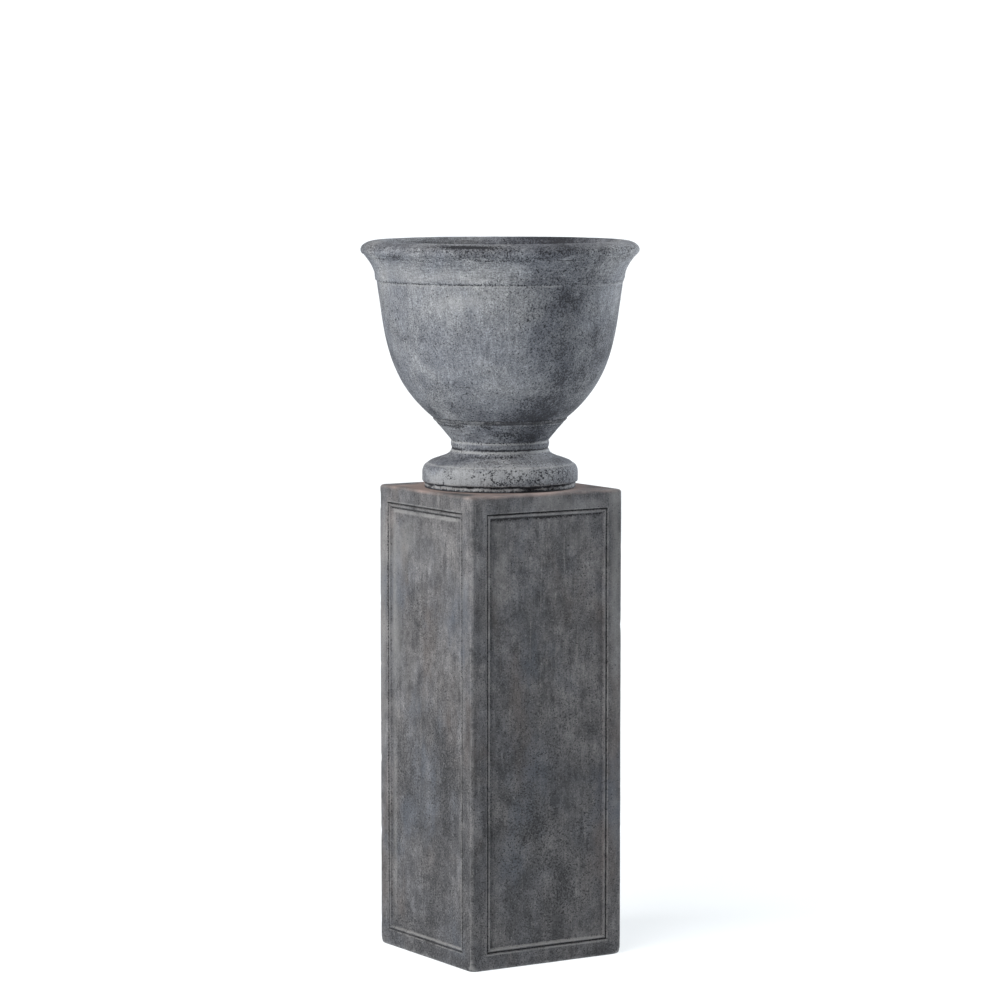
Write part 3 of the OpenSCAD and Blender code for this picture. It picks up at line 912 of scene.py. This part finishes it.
def pedestal_stone():
    """Darker casting, mottled brown, grey and blue, brushed up and down, with pale flecks."""
    g = Graph("pedestal_stone")
    cloud = g.noise(8.0, 6.0, 0.62, warp=0.5)
    colour = g.ramp(cloud, [(0.32, (0.073, 0.076, 0.085)), (0.46, (0.095, 0.096, 0.103)),
                            (0.58, (0.113, 0.111, 0.114)), (0.70, (0.145, 0.144, 0.149))])
    patches = g.noise(19.0, 5.0, 0.6, g.stretch((1, 1, 0.6), (2, 2, 2)))
    patched = g.ramp(patches, [(0.34, (0.62, 0.62, 0.63)), (0.66, (1.38, 1.38, 1.38))])
    colour = g.mix(0.8, colour, patched, "MULTIPLY")
    mottle = g.noise(44.0, 5.0, 0.7, g.stretch((1, 1, 0.7)))
    mottled = g.ramp(mottle, [(0.32, (0.48, 0.48, 0.50)), (0.68, (1.52, 1.51, 1.50))])
    colour = g.mix(1.0, colour, mottled, "MULTIPLY")
    strokes = g.within(g.noise(1.0, 4.0, 0.6, g.stretch((190, 190, 8), (3, 1, 0))), 0.56, 0.72)
    colour = g.mix(g.math("MULTIPLY", strokes, 0.30), colour, (0.260, 0.255, 0.250))
    streaks = g.noise(1.0, 5.0, 0.65, g.stretch((120, 120, 9)))
    brushed = g.ramp(streaks, [(0.30, (0.62, 0.62, 0.64)), (0.70, (1.32, 1.31, 1.29))])
    colour = g.mix(0.6, colour, brushed, "MULTIPLY")
    grain = g.noise(400.0, 3.0, 0.75)
    grained = g.ramp(grain, [(0.32, (0.42, 0.42, 0.44)), (0.52, (1.0, 1.0, 1.0)),
                             (0.72, (1.90, 1.89, 1.86))])
    colour = g.mix(0.64, colour, grained, "MULTIPLY")
    brown = g.within(g.noise(11.0, 5.0, 0.6, g.stretch((1, 1, 0.4), (3, 5, 7))), 0.54, 0.72)
    colour = g.mix(g.math("MULTIPLY", brown, 0.35), colour, (0.130, 0.104, 0.092))
    blue = g.within(g.noise(9.0, 5.0, 0.6, g.stretch((1, 1, 0.6), (11, 2, 4))), 0.52, 0.72)
    colour = g.mix(g.math("MULTIPLY", blue, 0.55), colour, (0.098, 0.115, 0.146))
    colour = weather(g, colour, grain, grime_and_shade_colour=(0.012, 0.012, 0.014),
                     pale_colour=(0.270, 0.270, 0.270), stain_and_shade_colour=(0.034, 0.035, 0.040))
    colour = g.mix(g.math("MULTIPLY", g.mask("rust"), 0.8), colour, (0.330, 0.250, 0.226))
    rough = g.within(grain, 0.3, 0.7, 0.92, 0.72)
    normal = g.bump(grain, 0.55, 0.9 * MM)
    normal = g.bump(streaks, 0.35, 0.8 * MM, normal)
    return g.finish(colour, rough, normal)


def mortar():
    """Pale mortar with dark patches, and more of them on the right, where they are painted shade."""
    g = Graph("mortar")
    grain = g.noise(420.0, 3.0, 0.75)
    darker = g.math("MULTIPLY", g.mask("stain_and_shading"), 0.10)
    patch = g.within(g.math("SUBTRACT", g.noise(60.0, 5.0, 0.75), darker), 0.38, 0.54)
    dark = g.ramp(grain, [(0.35, (0.010, 0.010, 0.013)), (0.65, (0.075, 0.078, 0.088))])
    pale = g.ramp(grain, [(0.35, (0.060, 0.064, 0.074)), (0.65, (0.230, 0.236, 0.246))])
    return g.finish(g.mix(patch, dark, pale), 0.95, g.bump(grain, 0.6, 0.6 * MM))


def metal(name, dull, bright, tarnish):
    """Weathered metal with turning marks and tarnish."""
    g = Graph(name)
    marks = g.noise(1.0, 4.0, 0.6, g.stretch((60, 60, 2600)))
    tarnished = g.within(g.noise(140.0, 5.0, 0.6), 0.42, 0.66)
    colour = g.mix(marks, dull, bright)
    colour = g.mix(g.math("MULTIPLY", tarnished, 0.7), colour, tarnish)
    rough = g.within(tarnished, 0.0, 1.0, 0.32, 0.7)
    return g.finish(colour, rough, g.bump(marks, 0.2, 0.2 * MM), metallic=1.0)


def rubber():
    """Black rubber with a fine grain."""
    g = Graph("seal_rubber")
    grain = g.noise(900.0, 3.0, 0.6)
    colour = g.ramp(grain, [(0.3, (0.012, 0.012, 0.013)), (0.7, (0.035, 0.035, 0.036))])
    return g.finish(colour, g.within(grain, 0.3, 0.7, 0.85, 0.6), g.bump(grain, 0.3, 0.2 * MM))


def give(piece, material):
    piece.data.materials.clear()
    piece.data.materials.append(material)


# ---------------------------------------------------------------- the pieces

def soften_edges(node, width):
    """A CAD node keeps its shape, and its sharp edges are eased."""
    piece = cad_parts[node]
    weld = piece.modifiers.new("weld", "WELD")
    weld.merge_threshold = 0.01 * MM
    bevel = piece.modifiers.new("bevel", "BEVEL")
    bevel.width = width
    bevel.segments = 3
    bevel.limit_method = "ANGLE"
    bevel.angle_limit = math.radians(40)


def build_object():
    stone = urn_stone()
    brass = metal("drain_brass", (0.36, 0.26, 0.12), (0.58, 0.44, 0.22), (0.10, 0.12, 0.10))
    steel = metal("clamp_steel", (0.38, 0.39, 0.40), (0.60, 0.61, 0.62), (0.16, 0.13, 0.11))
    black = rubber()
    for make, body, slot, material in (
        (make_pedestal, "pedestal", "pedestal_stone", pedestal_stone()),
        (make_foot, "urn", "urn_stone", stone),
        (make_bowl, "urn", "urn_stone", stone),
        (make_bedding, "urn", "mortar", mortar()),
    ):
        piece = make()
        give(piece, material)
        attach(piece, body)
    for node, material, eased in (
        ("drain_tube", brass, 0.6), ("drain_collar", brass, 0.7), ("collar_seal", black, 0.5),
        ("clamp_seal", black, 0.5), ("clamp_washer", steel, 0.6), ("clamp_nut", steel, 0.9),
    ):
        give(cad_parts[node], material)
        soften_edges(node, eased * MM)


# ---------------------------------------------------------------- the studio

def aim(thing, target):
    thing.rotation_euler = (Vector(target) - thing.location).to_track_quat("-Z", "Y").to_euler()


def soft_sun(name, side, height, spread, strength, colour, lit):
    """A broad even light, placed by its turn from the camera's side and its height, in degrees."""
    data = bpy.data.lights.new(name, "SUN")
    data.energy = strength
    data.angle = math.radians(spread)
    data.color = colour
    light = bpy.data.objects.new(name, data)
    a = VIEW_AZIMUTH + math.radians(side)
    e = math.radians(height)
    light.location = (3 * math.sin(a) * math.cos(e), -3 * math.cos(a) * math.cos(e), 3 * math.sin(e))
    aim(light, (0, 0, 0))
    bpy.context.scene.collection.objects.link(light)
    light.light_linking.receiver_collection = lit
    return light


def group(name, members):
    made = bpy.data.collections.new(name)
    for member in members:
        made.objects.link(member)
    return made


def light_studio(floor):
    """The key and the rim light the object; the floor has lights of its own, so that it stays pale."""
    floor_only = group("floor_only", [floor])
    others = [o for o in bpy.context.scene.objects if o.type == "MESH" and o != floor]
    the_rest = group("the_rest", others)
    soft_sun("key", side=-54, height=35, spread=50, strength=3.7, colour=(1.0, 0.985, 0.96),
             lit=the_rest)
    soft_sun("rim", side=128, height=20, spread=40, strength=3.4, colour=(0.94, 0.97, 1.0),
             lit=the_rest)
    soft_sun("floor_shade", side=-46, height=34, spread=60, strength=1.79, colour=(1.0, 0.985, 0.965),
             lit=floor_only)
    even = soft_sun("floor_even", side=0, height=90, spread=2, strength=2.70, colour=(1.0, 1.0, 1.0),
                    lit=floor_only)
    even.data.use_shadow = False


def make_floor():
    bpy.ops.mesh.primitive_plane_add(size=60, location=(0, 0, 0))
    floor = bpy.context.object
    floor.name = "floor"
    g = Graph("floor")
    white = g.ramp(g.noise(2.0, 2.0), [(0.3, (0.885, 0.918, 0.94)), (0.7, (0.905, 0.938, 0.96))])
    g.finish(white, 0.9)
    give(floor, g.material)
    return floor


def make_backdrop():
    """A sky that lights the object weakly and shows white to the camera."""
    world = bpy.data.worlds.new("studio")
    bpy.context.scene.world = world
    world.use_nodes = True
    nodes = world.node_tree.nodes
    links = world.node_tree.links
    background = nodes["Background"]
    background.inputs["Color"].default_value = (0.93, 0.97, 1.0, 1)
    seen = nodes.new("ShaderNodeMapRange")
    seen.inputs["To Min"].default_value = SKY
    seen.inputs["To Max"].default_value = BACKDROP
    links.new(nodes.new("ShaderNodeLightPath").outputs["Is Camera Ray"], seen.inputs["Value"])
    links.new(seen.outputs["Result"], background.inputs["Strength"])


def make_camera():
    scene = bpy.context.scene
    scene.view_settings.view_transform = "Standard"
    scene.view_settings.look = "None"
    data = bpy.data.cameras.new("camera")
    data.lens = VIEW_LENS
    data.sensor_width = 36
    camera = bpy.data.objects.new("camera", data)
    camera.location = (VIEW_DISTANCE * math.sin(VIEW_AZIMUTH),
                       -VIEW_DISTANCE * math.cos(VIEW_AZIMUTH), VIEW_HEIGHT)
    camera.rotation_euler = (math.pi / 2 - VIEW_PITCH, 0, VIEW_AZIMUTH)
    scene.collection.objects.link(camera)
    scene.camera = camera


studio_floor = make_floor()
make_backdrop()
make_camera()
build_object()
light_studio(studio_floor)
